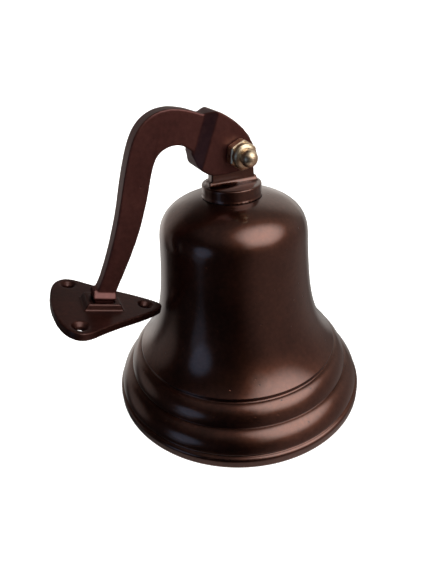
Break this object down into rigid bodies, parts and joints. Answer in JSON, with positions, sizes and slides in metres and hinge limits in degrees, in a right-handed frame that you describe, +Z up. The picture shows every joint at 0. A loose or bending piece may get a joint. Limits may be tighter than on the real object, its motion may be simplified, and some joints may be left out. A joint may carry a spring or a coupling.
{
  "type": "wall mounted bell",
  "caption": "Bell on a curved wall bracket with a forked head, a pivot bolt and a clapper hung inside; shown folded, standing on its mouth.",
  "frame": {"origin": "on the ground plane of the bell's mouth, under the middle of the whole object's box", "axes": "+Z up along the bell's axis, +Y along the pivot bolt away from the cap nut, +X away from the wall plate"},
  "size_m": [0.1788, 0.152, 0.1693],
  "materials": {
    "bronze_finish": "antique bronze lacquer over cast brass, semi-gloss",
    "bright_brass": "polished",
    "zinc_steel": "zinc plated",
    "dark_iron": "dark, satin",
    "fibre": "vulcanised fibre, matt"
  },
  "bodies": {
    "bracket": {"wall_plate": "bronze_finish", "bracket_arm": "bronze_finish", "arm_screw_upper": "zinc_steel", "arm_screw_lower": "zinc_steel", "pivot_bolt": "bright_brass", "bolt_washer": "bright_brass", "cap_nut": "bright_brass"},
    "bell": {"bell_shell": "bronze_finish", "hanger_lug": "bronze_finish", "fibre_washer": "fibre", "crown_washer": "zinc_steel", "crown_nut": "zinc_steel", "eye_screw": "zinc_steel", "eye_lock_nut": "zinc_steel"},
    "link": {"clapper_link": "zinc_steel"},
    "clapper": {"clapper_rod": "zinc_steel", "clapper_ball": "dark_iron", "ball_nut": "zinc_steel"}
  },
  "joints": [
    {"name": "bell_swing", "type": "hinge", "parent": "bracket", "child": "bell", "pos_m": [0.0135, 0, 0.14616], "axis": [0, -1, 0], "range_deg": [0, 150]},
    {"name": "clapper_side_swing", "type": "hinge", "parent": "bell", "child": "link", "pos_m": [0.0135, 0, 0.08996], "axis": [1, 0, 0], "range_deg": [-10, 10]},
    {"name": "clapper_swing", "type": "hinge", "parent": "link", "child": "clapper", "pos_m": [0.0135, 0, 0.08136], "axis": [0, 1, 0], "range_deg": [-40, 40]}
  ]
}
